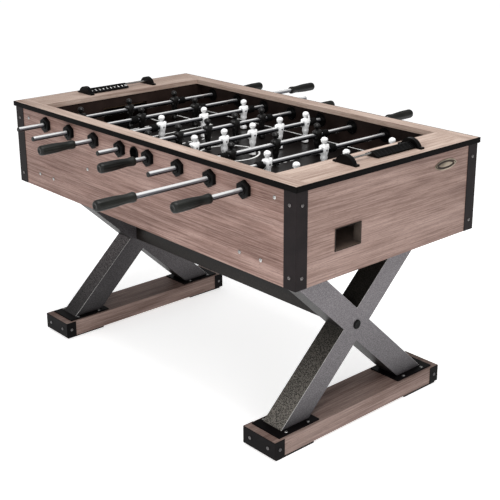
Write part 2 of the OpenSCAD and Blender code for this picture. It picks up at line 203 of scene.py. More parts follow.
def hammered(name, dark, light, rough=0.4, mottle=1.0, grain=1.0, painted_shade_fades=()):
    """Hammered powder coat: fine dimples with brighter rims. Each painted shade fade (axis, from, to, depth)
    darkens the coat gradually between two places in metres, towards near black: painted shade."""
    look = Look(name, rough=rough, specular=0.2)
    where = look.stretch((1, 1, 1))
    dimples = look.cells(where, 330 / grain)
    speckle = look.noise(where, scale=520 / grain, detail=3, rough=0.75)
    slow = look.noise(where, scale=6, detail=3)
    tone = look.math("ADD", look.math("MULTIPLY", dimples, 0.6), look.math("MULTIPLY", speckle, 0.6))
    reach = 0.14 / mottle
    toned = look.ramp(tone, (0.56 - reach, dark), (0.56 + reach, light))
    shaded = look.mix(look.math("MULTIPLY", slow, 0.4), toned, dark)
    for axis, start, stop, depth in painted_shade_fades:
        place = look.node("SeparateXYZ")
        look.feed(place.inputs[0], look.place)
        amount = look.node("MapRange")
        look.feed(amount.inputs["Value"], place.outputs[axis])
        for key, value in (("From Min", start), ("From Max", stop), ("To Max", depth)):
            amount.inputs[key].default_value = value
        # Painted shade: the coat darkens towards near black along the fade.
        shaded = look.mix(amount.outputs["Result"], shaded, rgb(4, 4, 4))
    look.colour(shaded)
    look.roughness(look.ramp(speckle, (0.35, rough - 0.08), (0.65, rough + 0.12)))
    look.bump(dimples, 0.45, 0.0005)
    look.bump(speckle, 0.25, 0.0002)
    return look.material


def metal(name, tone_low, tone_high, rough=0.18, across=900):
    """Bright metal with a faint drawn grain along Y."""
    look = Look(name, rough=rough, metal=1.0)
    lines = look.noise(look.stretch(along(1, 4, across)), detail=3, rough=0.6)
    slow = look.noise(look.stretch((1, 1, 1)), scale=18, detail=3)
    look.colour(look.ramp(slow, (0.3, tone_low), (0.7, tone_high)))
    look.roughness(look.ramp(lines, (0.3, rough - 0.05), (0.7, rough + 0.07)))
    look.bump(lines, 0.03, 0.0001)
    return look.material


def polished(name, under, flank, top, inside, rough=0.16):
    """Polished steel bar with painted light from above: a painted highlight along the top, painted shade
    underneath, and darker inside the cabinet, a painted reflection of the black boards."""
    look = Look(name, rough=rough, metal=0.6)
    split = look.node("SeparateXYZ")
    look.feed(split.inputs[0], look.node("NewGeometry").outputs["Normal"])
    height = look.math("MULTIPLY_ADD", split.outputs["Z"], 0.5)
    height.node.inputs[2].default_value = 0.5
    lines = look.noise(look.stretch(along(1, 4, 900)), detail=3, rough=0.6)
    # By the upward slope of each face: painted shade below, the plain tone on the flanks, a painted highlight
    # on top.
    painted_sky_reflection = look.ramp(height, (0.12, under), (0.36, under), (0.48, flank), (0.66, flank), (0.84, top))
    drawn = look.mix(look.math("MULTIPLY", lines, 0.12), painted_sky_reflection, flank)
    # Inside the cabinet the flanks take a painted reflection of the black boards.
    painted_board_reflection = look.ramp(height, (0.12, under), (0.5, under), (0.64, inside), (0.8, inside), (0.93, top))
    reach = look.node("SeparateXYZ")
    look.feed(reach.inputs[0], look.place)
    within = look.ramp(look.math("ABSOLUTE", reach.outputs["Y"]), (0.34, 1.0), (0.38, 0.0))
    look.colour(look.mix(within, drawn, painted_board_reflection))
    look.roughness(look.ramp(lines, (0.3, rough - 0.05), (0.7, rough + 0.07)))
    return look.material


def plastic(name, shade, light, rough=0.35, scatter=0.0, specular=0.5):
    """Injection-moulded plastic: faint flow marks and a soft gloss."""
    look = Look(name, rough=rough, specular=specular)
    flow = look.noise(look.stretch((1, 1, 1)), scale=55, detail=4, rough=0.6, warp=0.8)
    fine = look.noise(look.stretch((1, 1, 1)), scale=1400, detail=2)
    look.colour(look.ramp(flow, (0.3, shade), (0.7, light)))
    look.roughness(look.ramp(flow, (0.3, rough - 0.05), (0.7, rough + 0.08)))
    look.bump(fine, 0.06, 0.0001)
    look.shader.inputs["Subsurface Weight"].default_value = scatter
    look.shader.inputs["Subsurface Radius"].default_value = (0.003, 0.003, 0.003)
    look.shader.inputs["Subsurface Scale"].default_value = 1.0
    return look.material


SIDE_TONES = (rgb(94, 69, 61), rgb(139, 111, 102), rgb(170, 144, 135))
END_TONES = (rgb(97, 74, 67), rgb(136, 112, 103), rgb(162, 138, 129))
BEAM_TONES = (rgb(86, 66, 59), rgb(126, 105, 97), rgb(154, 134, 126))
# The top rails are lighter and yellower than the sides: partly their own laminate, partly painted light from
# above.
TOP_TONES_PARTLY_PAINTED_LIGHT = (rgb(124, 102, 91), rgb(171, 150, 137), rgb(197, 178, 166))
WOOD_X = laminate("wood_along_x", 0, *SIDE_TONES, seed=0.3)
WOOD_Y = laminate("wood_along_y", 1, *END_TONES, seed=2.1)
BEAM_WOOD = laminate("wood_beam", 1, *BEAM_TONES, seed=4.4)
TOP_X = laminate("top_along_x", 0, *TOP_TONES_PARTLY_PAINTED_LIGHT, seed=1.2)
TOP_Y = laminate("top_along_y", 1, *TOP_TONES_PARTLY_PAINTED_LIGHT, seed=3.7)
RAIL_TONES = (rgb(96, 76, 58), rgb(124, 100, 78), rgb(150, 126, 102))
RAIL_WOOD = laminate("cross_rail_wood", 1, *RAIL_TONES, seed=6.0, rough=0.65)
BOARD = painted("dark_board", rgb(22, 15, 13), rgb(46, 35, 31), rough=0.42, grain=500, bump=0.06,
                specular=0.1)
FIELD = painted("field_board", rgb(10, 8, 8), rgb(24, 20, 19), rough=0.32, grain=300, bump=0.03)
BAND = painted("edge_band", rgb(3, 2, 2), rgb(11, 9, 9), rough=0.5, specular=0.04)
COAT = painted("black_powder_coat", rgb(14, 11, 12), rgb(36, 30, 31), rough=0.48, grain=1200, bump=0.35,
               specular=0.08)
PLATE = painted("black_plate", rgb(4, 3, 4), rgb(16, 13, 14), rough=0.5, grain=1200, bump=0.3, specular=0.06)
# Copies of one hammered coat with painted light and shade: the near frame lighter than the far one, outward
# faces even, upper faces with stronger mottle as painted sheen, lower faces dark, and edges a light copy as a
# painted highlight. The fades paint shade under the cabinet, towards the bottom of the tubes and across the
# far frame.
HAMMERED = hammered("hammered_grey", rgb(86, 82, 85), rgb(134, 130, 133),
                    painted_shade_fades=((2, 0.42, 0.12, 0.42), (2, 0.15, 0.07, 0.5)))
HAMMERED_BACK_PAINTED_SHADE = hammered("hammered_grey_far_painted_shade", rgb(62, 58, 60), rgb(100, 96, 98),
                         painted_shade_fades=((1, 0.2, -0.15, 0.56), (2, 0.15, 0.07, 0.5)))
HAMMERED_NEAR = hammered("hammered_painted_shade_near", rgb(8, 7, 6), rgb(122, 117, 110), mottle=1.8, grain=1.1,
                         painted_shade_fades=((2, 0.12, 0.35, 0.88),))
HAMMERED_FAR = hammered("hammered_painted_shade_far", rgb(8, 7, 7), rgb(132, 125, 126), mottle=1.8, grain=1.1,
                        painted_shade_fades=((2, 0.4, 0.08, 0.86),))
# The downward faces of the tubes: a near-black copy of the coat, painted shade.
HAMMERED_UNDER_PAINTED_SHADE = hammered("hammered_under_painted_shade", rgb(5, 4, 4), rgb(34, 31, 30), mottle=1.2)
# A light copy of the coat for the rounded edges: painted highlight, not wear.
PAINTED_EDGE_HIGHLIGHT = hammered("hammered_edge_painted_highlight", rgb(176, 174, 172), rgb(236, 234, 232), rough=0.25, mottle=0.5)
# The fade paints the cabinet's shadow along the top of the stretcher.
STRETCHER = hammered("stretcher_brown", rgb(8, 6, 5), rgb(36, 30, 26), painted_shade_fades=((2, 0.335, 0.362, 0.8),))
MOULDED = painted("moulded_black", rgb(3, 3, 3), rgb(11, 10, 10), rough=0.33, grain=1500, bump=0.08,
                  specular=0.07)
# Two copies of the ball return's lining, one for the side walls and one for the rest: painted light and
# shade.
LINING = painted("return_lining", rgb(58, 51, 46), rgb(92, 82, 75), rough=0.5, bump=0.1)
LINING_PAINTED_LIGHT_SHADE = painted("return_lining_painted_light_shade", rgb(58, 48, 42), rgb(108, 92, 82), rough=0.5, bump=0.1)
RUBBER = painted("black_rubber", rgb(4, 4, 4), rgb(16, 15, 15), rough=0.6, grain=1700, bump=0.2,
                 specular=0.07)
GRIP = painted("grip_rubber", rgb(8, 8, 7), rgb(28, 29, 26), rough=0.36, grain=1300, bump=0.15, specular=0.2)
STEEL = polished("polished_rod", rgb(18, 18, 21), rgb(118, 118, 124), rgb(250, 250, 250),
                 inside=rgb(84, 84, 88))
DULL_STEEL = metal("dull_screw", rgb(70, 68, 70), rgb(120, 118, 118), rough=0.35)
BLACK_STEEL = metal("black_screw", rgb(66, 63, 63), rgb(130, 126, 125), rough=0.26)
ZINC = metal("bright_zinc", rgb(140, 140, 140), rgb(190, 190, 188), rough=0.25)
BADGE = metal("brushed_badge", rgb(96, 86, 74), rgb(176, 164, 146), rough=0.32, across=1500)
BADGE_DARK = painted("badge_ground", rgb(30, 22, 16), rgb(66, 52, 40), rough=0.4)
WHITE_MAN = plastic("white_player", rgb(240, 240, 240), rgb(252, 252, 252), rough=0.38, scatter=0.15)
BLACK_MAN = plastic("black_player", rgb(5, 4, 4), rgb(18, 16, 15), rough=0.3, specular=0.3)
LINES = plastic("line_paint", rgb(236, 236, 234), rgb(250, 250, 248), rough=0.5)


# ---------------------------------------------------------------- shapes

def soften(mesh, angle=38):
    """Smooth shading with edges sharper than the angle kept crisp."""
    bm = bmesh.new()
    bm.from_mesh(mesh)
    for face in bm.faces:
        face.smooth = True
    limit = math.radians(angle)
    for edge in bm.edges:
        edge.smooth = len(edge.link_faces) == 2 and edge.calc_face_angle(0) < limit
    bm.to_mesh(mesh)
    bm.free()


def place_mesh(name, bm, *materials, angle=38):
    """Makes an object of a bmesh and frees the bmesh."""
    bmesh.ops.recalc_face_normals(bm, faces=bm.faces)
    mesh = bpy.data.meshes.new(name)
    bm.to_mesh(mesh)
    bm.free()
    for material in materials:
        mesh.materials.append(material)
    soften(mesh, angle)
    made = bpy.data.objects.new(name, mesh)
    scene.collection.objects.link(made)
    return made


def belong(piece, node, replace=True):
    """The piece rides on the node's body and may stand for it."""
    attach(piece, BODY_OF[node])
    if replace:
        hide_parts(node)
    return piece


def bake(piece):
    """Applies the piece's modifiers."""
    bpy.context.view_layer.update()
    shown = piece.evaluated_get(bpy.context.evaluated_depsgraph_get())
    mesh = bpy.data.meshes.new_from_object(shown)
    old = piece.data
    piece.modifiers.clear()
    piece.data = mesh
    bpy.data.meshes.remove(old)
    mesh.name = piece.name
    return piece


SHARP = math.radians(35)


def softened_copy(node, *materials, width=1.0, segments=2, choose=None, move=None):
    """A copy of a CAD node with its edges rounded off. choose(face centre, normal) picks a material,
    move(corner) shifts a corner a little."""
    mesh = nodes[node].data.copy()
    mesh.materials.clear()
    for material in materials:
        mesh.materials.append(material)
    bm = bmesh.new()
    bm.from_mesh(mesh)
    bmesh.ops.remove_doubles(bm, verts=bm.verts, dist=0.00002)
    bmesh.ops.dissolve_limit(bm, angle_limit=0.01, verts=bm.verts, edges=bm.edges)
    for v in bm.verts if move else ():
        v.co = move(v.co.copy())
    for face in bm.faces:
        face.smooth = True
        face.material_index = choose(face.calc_center_median(), face.normal) if choose else 0
    for edge in bm.edges:
        edge.smooth = len(edge.link_faces) == 2 and edge.calc_face_angle(0) < SHARP
    bm.to_mesh(mesh)
    bm.free()
    piece = bpy.data.objects.new(node + "_look", mesh)
    scene.collection.objects.link(piece)
    if width:
        bevel = piece.modifiers.new("edges", "BEVEL")
        bevel.width = width * MM
        bevel.segments = segments
        bevel.limit_method = "ANGLE"
        bevel.angle_limit = SHARP
        bevel.harden_normals = True
        bake(piece)
    return belong(piece, node)


def frame_at(origin, direction, up=Z):
    """A matrix whose Z axis points along the direction, for lathe work."""
    z = Vector(direction).normalized()
    y = (up - z * up.dot(z))
    y = y.normalized() if y.length > 1e-6 else X
    x = y.cross(z)
    made = Matrix((x, y, z)).transposed().to_4x4()
    made.translation = origin
    return made


def lathe(bm, profile, where, steps=32, swell=None, material=0, turn=0.0):
    """Turns (radius, height) pairs in mm about the frame's Z axis. swell(angle, height) scales the radius."""
    rings = []
    for radius, height in profile:
        if radius < 1e-6:
            rings.append([bm.verts.new(where @ Vector((0, 0, height * MM)))])
            continue
        ring = []
        for i in range(steps):
            a = turn + TURN * i / steps
            r = radius * MM * (swell(a, height) if swell else 1)
            ring.append(bm.verts.new(where @ Vector((r * math.cos(a), r * math.sin(a), height * MM))))
        rings.append(ring)
    for low, high in zip(rings, rings[1:]):
        for i in range(steps):
            j = (i + 1) % steps
            corners = [low[i % len(low)], low[j % len(low)], high[j % len(high)], high[i % len(high)]]
            corners = [v for k, v in enumerate(corners) if v not in corners[:k]]
            if len(corners) > 2:
                bm.faces.new(corners).material_index = material


def skin(bm, rings, material=0):
    """Joins closed rings of equal count with faces, one after the other."""
    for low, high in zip(rings, rings[1:]):
        for i in range(len(low)):
            j = (i + 1) % len(low)
            bm.faces.new((low[i], low[j], high[j], high[i])).material_index = material


def mid(node):
    """Middle of a CAD node's box in metres."""
    low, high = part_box(node)
    return (low + high) / 2


def span(node):
    """Lowest and highest corners of a CAD node in mm."""
    low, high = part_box(node)
    return low / MM, high / MM


# ---------------------------------------------------------------- cabinet

def facing(axis, sign):
    """Picks material 1 for the faces that look along an axis, and 0 for the rest."""
    return lambda centre, normal: 1 if normal[axis] * sign > 0.9 else 0


# Heights in metres between which the tubes of an X frame stand; its plates lie past them.
TUBES_LOW, TUBES_HIGH = 0.0699, 0.5721


def frame_finish(centre, normal):
    """Plates black; the tubes take copies of one coat by face direction, as painted light and shade: outward
    faces even grey, upper faces mottled, lower ones dark.
    """
    if centre.z < TUBES_LOW or centre.z > TUBES_HIGH:
        return 2
    if abs(normal.x) > 0.9:
        return 0
    return 4 if normal.z < -0.1 else 1


def bright_edges(piece):
    """The rounded edges between an outward face and an upper face take a light copy of the coat: a painted
    highlight.
    """
    for face in piece.data.polygons:
        if 0.3 < abs(face.normal.x) < 0.95 and face.normal.z > 0.15 and face.material_index < 2:
            face.material_index = 3


# A ball return, in metres: the plane of its rim, where its mouth begins, the middle of the mouth (y, z),
# the half sizes of the lining, the half width of the rim without its edge, and how far the rim's inner
# and outer corners move.
RIM_X = 0.7289
MOUTH_X = 0.703
MOUTH_Y, MOUTH_Z = -0.188, 0.690
LINING_Y, LINING_Z = 0.0515, 0.032
RIM_Y = 0.0545
INNER_SHIFT, OUTER_SHIFT = 0.0013, 0.0015


def return_finish(centre, normal):
    """The rim is black; the side walls of the moulding take one grey-brown copy of the lining and the rest
    another, each with painted light and shade.
    """
    if abs(centre.x) > RIM_X and abs(normal.x) > 0.5:
        return 0
    return 1 if abs(normal.y) > 0.5 else 2


def thin_rim(corner):
    """The rim of a ball return as a fine line: its outer corners in, its inner corners out."""
    if abs(corner.x) > MOUTH_X:
        side = 1 if corner.x > 0 else -1
        dy, dz = corner.y * side - MOUTH_Y, corner.z - MOUTH_Z
        if abs(dy) < LINING_Y and abs(dz) < LINING_Z:
            corner.y += side * math.copysign(INNER_SHIFT, dy)
            corner.z += math.copysign(INNER_SHIFT, dz)
        elif abs(dy) > RIM_Y:
            corner.y -= side * math.copysign(OUTER_SHIFT, dy)
            corner.z -= math.copysign(OUTER_SHIFT, dz)
    return corner


softened_copy("side_panel_near", WOOD_X, BOARD, width=0.8, choose=facing(1, 1))
softened_copy("side_panel_far", WOOD_X, BOARD, width=0.8, choose=facing(1, -1))
softened_copy("end_panel_pos", WOOD_Y, BOARD, width=0.8, choose=facing(0, -1))
softened_copy("end_panel_neg", WOOD_Y, BOARD, width=0.8, choose=facing(0, 1))
softened_copy("goal_walls", BOARD, width=1.5)
softened_copy("playfield", FIELD, width=0.5)
softened_copy("top_side_rails", TOP_X, width=0.4)
softened_copy("top_end_rails", TOP_Y, width=0.4)
softened_copy("edge_bands", BAND, width=1.2, segments=3)
softened_copy("corner_brackets", COAT, width=0.7)
softened_copy("cross_rails", RAIL_WOOD, width=1.0)
softened_copy("ball_returns", MOULDED, LINING, LINING_PAINTED_LIGHT_SHADE, width=0.3, choose=return_finish, move=thin_rim)
# Each frame's faces take lit and shaded copies of the coat by direction: painted light and shade.
for side, outward, upper in (("pos", HAMMERED, HAMMERED_NEAR), ("neg", HAMMERED_BACK_PAINTED_SHADE, HAMMERED_FAR)):
    bright_edges(softened_copy("x_frame_" + side, outward, upper, PLATE, PAINTED_EDGE_HIGHLIGHT, HAMMERED_UNDER_PAINTED_SHADE,
                               width=2.6, segments=3, choose=frame_finish))
softened_copy("stretcher", STRETCHER, width=3.0, segments=3)
softened_copy("floor_beams", BEAM_WOOD, width=0.8)
softened_copy("beam_caps", PLATE, width=1.6, segments=3)
softened_copy("foot_pads", RUBBER, width=1.5)
softened_copy("scorer_brackets", MOULDED, width=1.6, segments=3)

field_high = span("playfield")[1]
FIELD_Z = field_high.z
ROD_Z = mid("rod_1_bar").z / MM
RODS = [mid("rod_%d_bar" % (i + 1)).x / MM for i in range(8)]


def strip(bm, points, width, height, closed=False):
    """A painted line of constant width through flat points, a hair thicker than the board."""
    points = [Vector((p[0], p[1], 0)) for p in points]
    count = len(points)
    rails = []
    for i, p in enumerate(points):
        before = points[i - 1] if i or closed else p
        after = points[(i + 1) % count] if i + 1 < count or closed else p
        side = (after - before).normalized().cross(Z) * width / 2
        rails.append([(p + side), (p - side)])
    layers = []
    for z in (height, height + 0.25):
        layers.append([[bm.verts.new(Vector((q.x, q.y, z)) * MM) for q in pair] for pair in rails])
    low, high = layers
    for i in range(count if closed else count - 1):
        j = (i + 1) % count
        bm.faces.new((high[i][0], high[j][0], high[j][1], high[i][1]))
        bm.faces.new((low[i][0], low[i][1], low[j][1], low[j][0]))
        for k in (0, 1):
            bm.faces.new((low[i][k], low[j][k], high[j][k], high[i][k]))
    if not closed:
        for i in (0, count - 1):
            bm.faces.new((low[i][0], low[i][1], high[i][1], high[i][0]))


def arc(cx, cy, radius, start, stop, steps=48):
    """Points on an arc, angles in degrees."""
    return [(cx + radius * math.cos(math.radians(start + (stop - start) * i / steps)),
             cy + radius * math.sin(math.radians(start + (stop - start) * i / steps)))
            for i in range(steps + 1)]


def field_lines():
    """Border, halfway line, centre circle and spot, and at each end two boxes and a row of dashes."""
    bm = bmesh.new()
    z, wide = FIELD_Z, 6
    edge_x, edge_y = field_high.x - 4, field_high.y - 5
    circle, spot, spot_wide = 103.5, 5, 9
    boxes = ((235, 225), (95, 112))
    dash_x, dash_pitch, dash_half = 212, 30, 7
    strip(bm, arc(0, 0, circle, 0, 360, 72)[:-1], wide, z, closed=True)
    strip(bm, [(0, -edge_y), (0, edge_y)], wide, z)
    strip(bm, arc(0, 0, spot, 0, 360, 16)[:-1], spot_wide, z, closed=True)
    for side in (-1, 1):
        strip(bm, [(-edge_x, side * edge_y), (edge_x, side * edge_y)], wide, z)
        strip(bm, [(side * edge_x, -edge_y), (side * edge_x, edge_y)], wide, z)
        for depth, half in boxes:
            inner = side * (edge_x - depth)
            strip(bm, [(side * edge_x, -half), (inner, -half)], wide, z)
            strip(bm, [(side * edge_x, half), (inner, half)], wide, z)
            strip(bm, [(inner, -half - wide / 2), (inner, half + wide / 2)], wide, z)
        for i in range(-3, 4):
            y = i * dash_pitch
            strip(bm, [(side * dash_x, y - dash_half), (side * dash_x, y + dash_half)], wide, z)
    piece = place_mesh("field_lines", bm, LINES)
    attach(piece, "table")


field_lines()


def rod_bearings():
    """Outside, a chamfered hex nut round a sleeve; inside, a stepped round flange."""
    bm = bmesh.new()
    low, high = span("side_panel_near")
    face = -low.y
    wall = -high.y
    nut = span("rod_bearings")[1].y - 2 - face
    corner = 27.7
    for x in RODS:
        for side in (-1, 1):
            out = frame_at(Vector((x, side * face, ROD_Z)) * MM, Vector((0, side, 0)))
            lathe(bm, [(15.2, 0), (corner, 0), (corner, nut - 3.2), (corner - 2.6, nut - 0.6),
                       (corner - 5.5, nut), (19, nut), (18.2, nut - 1.2), (15.2, nut - 1.2)],
                  out, steps=6, turn=math.radians(30))
            lathe(bm, [(8.2, -3), (8.2, nut + 1.4), (8.8, nut + 2), (13.6, nut + 2), (14.6, nut + 1.2),
                       (14.9, nut - 1.0), (14.9, -3)], out, steps=36)
            inner = frame_at(Vector((x, side * wall, ROD_Z)) * MM, Vector((0, -side, 0)))
            lathe(bm, [(14.9, -2), (24.6, 0), (25, 0.8), (25, 2.6), (24.2, 3.4), (20.6, 3.8), (20.2, 4.4),
                       (19.9, 6.4), (19.2, 7.0), (14.6, 7.2), (14.2, 7.9), (9.0, 8), (8.2, 7.2),
                       (8.2, -2)], inner, steps=40)
    belong(place_mesh("rod_bearings_look", bm, MOULDED, angle=30), "rod_bearings")


rod_bearings()


def serve_cups():
    """A round cup through each side panel, with a rim on the outside."""
    bm = bmesh.new()
    face = -span("side_panel_near")[0].y
    for side in (-1, 1):
        out = frame_at(Vector((0, side * face, ROD_Z)) * MM, Vector((0, side, 0)))
        lathe(bm, [(20, -25), (20, 0), (21.4, 0), (22, 0.8), (22, 2.6), (21, 3.8), (19.4, 4), (18.4, 3.2),
                   (18, 1.5), (18, -25), (20, -25)], out, steps=48)
    belong(place_mesh("serve_cups_look", bm, MOULDED, angle=30), "serve_cups")


serve_cups()


def round_head(bm, where, radius, height, material=0):
    """A domed fastener head with a round recess."""
    lathe(bm, [(0, -0.6), (radius * 0.86, -0.6), (radius, 0.15 * height), (radius * 0.97, 0.45 * height),
               (radius * 0.78, 0.8 * height), (radius * 0.45, height), (radius * 0.26, height),
               (radius * 0.2, height * 0.35), (0, height * 0.3)], where, steps=20, material=material)


# Sizes and places of the fasteners, in mm. Heads: radius and height.
SCREW_HEAD, BOLT_HEAD = (5.5, 2.5), (6, 3.5)
# Bracket screws: in from the bracket's outer faces, and from the bottom and top of the end panel.
BRACKET_IN_X, BRACKET_IN_Y = 25, 23
BRACKET_UP, BRACKET_DOWN = 35, 40
# A floor beam's width and middle, and the screws in its band: from the middle, in from the end, height.
BEAM_W = 142
BEAM_X = span("beam_caps")[1].x - BEAM_W / 2
BAND_SCREW_X, BAND_IN_Y, BAND_SCREW_Z = 40, 20.5, 36.5
# A base plate's middle and top, and how far its screws lie from the middle.
PLATE_Y, PLATE_Z = 268.9, 70
PLATE_SCREW_X, PLATE_SCREW_Y = 50, 46
# The bolts on a side panel (x, z).
BOLT_SPOTS = ((500, 631), (590, 631), (275, 714), (646, 828))


def fasteners():
    """Bracket, plate and band screws, and the bolts through the side panels."""
    screws, bolts = bmesh.new(), bmesh.new()

    def screw(x, y, z, out, up=Z, material=0):
        round_head(screws, frame_at(Vector((x, y, z)) * MM, out, up=up), *SCREW_HEAD, material=material)

    corner = span("corner_brackets")[1]
    low, high = span("end_panel_pos")
    beam_end = span("beam_caps")[1].y
    side_face = -span("side_panel_near")[0].y
    for sx in (-1, 1):
        for sy in (-1, 1):
            for z in (low.z + BRACKET_UP, high.z - BRACKET_DOWN):
                screw(sx * (corner.x - BRACKET_IN_X), sy * corner.y, z, Y * sy)
                screw(sx * corner.x, sy * (corner.y - BRACKET_IN_Y), z, X * sx)
            for dx in (-PLATE_SCREW_X, PLATE_SCREW_X):
                for dy in (-PLATE_SCREW_Y, PLATE_SCREW_Y):
                    screw(sx * (BEAM_X + dx), sy * (PLATE_Y + dy), PLATE_Z, Z, up=Y, material=1)
            for dx in (-BAND_SCREW_X, BAND_SCREW_X):
                screw(sx * (BEAM_X + dx), sy * beam_end, BAND_SCREW_Z, Y * sy, material=2)
            for out in (-1, 1):
                x = sx * (BEAM_X + out * BEAM_W / 2)
                screw(x, sy * (beam_end - BAND_IN_Y), BAND_SCREW_Z, X * sx * out, material=2)
            for x, z in BOLT_SPOTS:
                spot = Vector((sx * x, sy * side_face, z)) * MM
                round_head(bolts, frame_at(spot, Y * sy), *BOLT_HEAD)
    belong(place_mesh("dark_screws_look", screws, BLACK_STEEL, ZINC, DULL_STEEL, angle=30), "dark_screws")
    belong(place_mesh("panel_bolts_look", bolts, ZINC, angle=30), "panel_bolts")


fasteners()


def badge():
    """A blank oval plate: raised rim, dark ground, a plain raised bar and two rivets."""
    bm = bmesh.new()
    low, high = span("badge_plate")
    wide, tall = (high.y - low.y) / 2, (high.z - low.z) / 2
    centre = Vector((low.x, (low.y + high.y) / 2, (low.z + high.z) / 2)) * MM
    where = frame_at(centre, X)

    def oval(scale_w, scale_t, height):
        ring = []
        for i in range(64):
            a = TURN * i / 64
            c, s = math.cos(a), math.sin(a)
            y = wide * scale_w * math.copysign(abs(c) ** (2 / 2.4), c)
            z = tall * scale_t * math.copysign(abs(s) ** 1.5, s)
            ring.append(bm.verts.new(where @ (Vector((y, z, height)) * MM)))
        return ring

    steps = ((1, 1, 0), (1, 1, 1.0), (0.97, 0.93, 1.6), (0.9, 0.78, 1.6), (0.88, 0.72, 1.0))
    rings = [oval(*step) for step in steps]
    skin(bm, rings[:-1])
    skin(bm, rings[-2:], material=1)
    bm.faces.new(rings[-1]).material_index = 1
    bar_rings = [oval(0.62, 0.42, 1.0), oval(0.6, 0.38, 1.7), oval(0.56, 0.3, 1.9)]
    skin(bm, bar_rings)
    bm.faces.new(bar_rings[-1])
    for side in (-1, 1):
        spot = centre + Vector((0, side * wide * 0.78, 0)) * MM
        round_head(bm, frame_at(spot + X * 0.001, X), 2.6, 1.9)
    belong(place_mesh("badge_plate_look", bm, BADGE, BADGE_DARK, angle=30), "badge_plate")


badge()


def frame_caps():
    """The round cap on the outward face of each X frame, over the crossing of its tubes."""
    bm = bmesh.new()
    thick = 4
    face = span("frame_caps")[1].x - thick
    height = mid("frame_caps").z / MM
    for side in (-1, 1):
        where = frame_at(Vector((side * face, 0, height)) * MM, X * side)
        lathe(bm, [(15.5, 0), (15.5, 1.6), (14.6, 3.0), (12, 3.8), (9.5, thick), (8.8, 3.3), (4, 3.0),
                   (0, 3.0)], where, steps=36)
    belong(place_mesh("frame_caps_look", bm, MOULDED, angle=30), "frame_caps")


frame_caps()


# ---------------------------------------------------------------- scorers

COUNTERS = 10


def counter_outline():
    """A counter seen along its rod: a wide foot and slopes up to an arch over the rod."""
    arch = [math.radians(139 - 14 * k) for k in range(8)]
    outline = [(-26, -9.6), (-26, -6), (-5.4, 3.8)]
    outline += [(6.5 * math.cos(a), 6.5 * math.sin(a)) for a in arch]
    return outline + [(5.4, 3.8), (26, -6), (26, -9.6), (24, -10), (-24, -10)]


def counters(node, centre, spin, start, pitch):
    """A row of moulded counters with chamfered ends."""
    bm = bmesh.new()
    outline = counter_outline()
    for k in range(COUNTERS):
        back = start - k * pitch
        front = back - pitch + 0.5
        layers = []
        for inset, y in ((1.1, back), (0, back - 1.2), (0, front + 1.3), (1.1, front)):
            scale = 1 - inset / 14
            ring = []
            for px, pz in outline:
                place = Vector((centre.x + px * scale, y, centre.z + (pz + 2) * scale - 2))
                ring.append(bm.verts.new(spin @ (place * MM)))
            layers.append(ring)
        skin(bm, layers)
        bm.faces.new(layers[0])
        bm.faces.new(layers[-1])
    belong(place_mesh(node + "_look", bm, MOULDED, angle=25), node)


def digit_mesh(words):
    """A thin raised number, flat in XY."""
    text = bpy.data.curves.new("digit", "FONT")
    text.body = words
    text.size = 0.0135
    text.align_x = "CENTER"
    text.align_y = "CENTER"
    text.extrude = 0.0003
    holder = bpy.data.objects.new("digit", text)
    scene.collection.objects.link(holder)
    bpy.context.view_layer.update()
    shown = holder.evaluated_get(bpy.context.evaluated_depsgraph_get())
    mesh = bpy.data.meshes.new_from_object(shown)
    bpy.data.objects.remove(holder)
    bpy.data.curves.remove(text)
    return mesh


def counter_numbers(node, centre, spin, start, pitch):
    """The numbers, on the slopes of the counters that face the field."""
    bm = bmesh.new()
    right, up, slope = -Y, Vector((20.6, 0, 9.8)).normalized(), Vector((-9.8, 0, 20.6)).normalized()
    for k in range(COUNTERS):
        mesh = digit_mesh(str(k + 1))
        turn = Matrix((right, up, slope)).transposed().to_4x4()
        turn.translation = Vector((centre.x - 15.7, start - (k + 0.5) * pitch, centre.z - 1.1)) * MM
        mesh.transform(spin @ turn)
        bm.from_mesh(mesh)
        bpy.data.meshes.remove(mesh)
    piece = place_mesh(node + "_digits", bm, LINES)
    belong(piece, node, replace=False)


def scorers():
    """The counters of both ends. They are made at the positive end, and turned round for the other."""
    for end, sign in (("pos", 1), ("neg", -1)):
        node = "scorer_%s_counters" % end
        low, high = span(node)
        centre = Vector((abs(low.x + high.x) / 2, 0, mid("scorer_rods").z / MM))
        pitch = (high.y - low.y + 0.4) / COUNTERS
        spin = Matrix.Rotation(0 if sign > 0 else math.pi, 4, "Z")
        start = high.y if sign > 0 else -low.y
        counters(node, centre, spin, start, pitch)
        counter_numbers(node, centre, spin, start, pitch)


scorers()


# ---------------------------------------------------------------- rods

def grip_ridges(angle, height):
    """Flutes along the body of a handle, fading out at both ends."""
    fade = max(0.0, min(1.0, (height - 26) / 14, (119 - height) / 5))
    return 1 - 0.07 * fade * (0.5 - 0.5 * math.cos(8 * angle)) ** 4


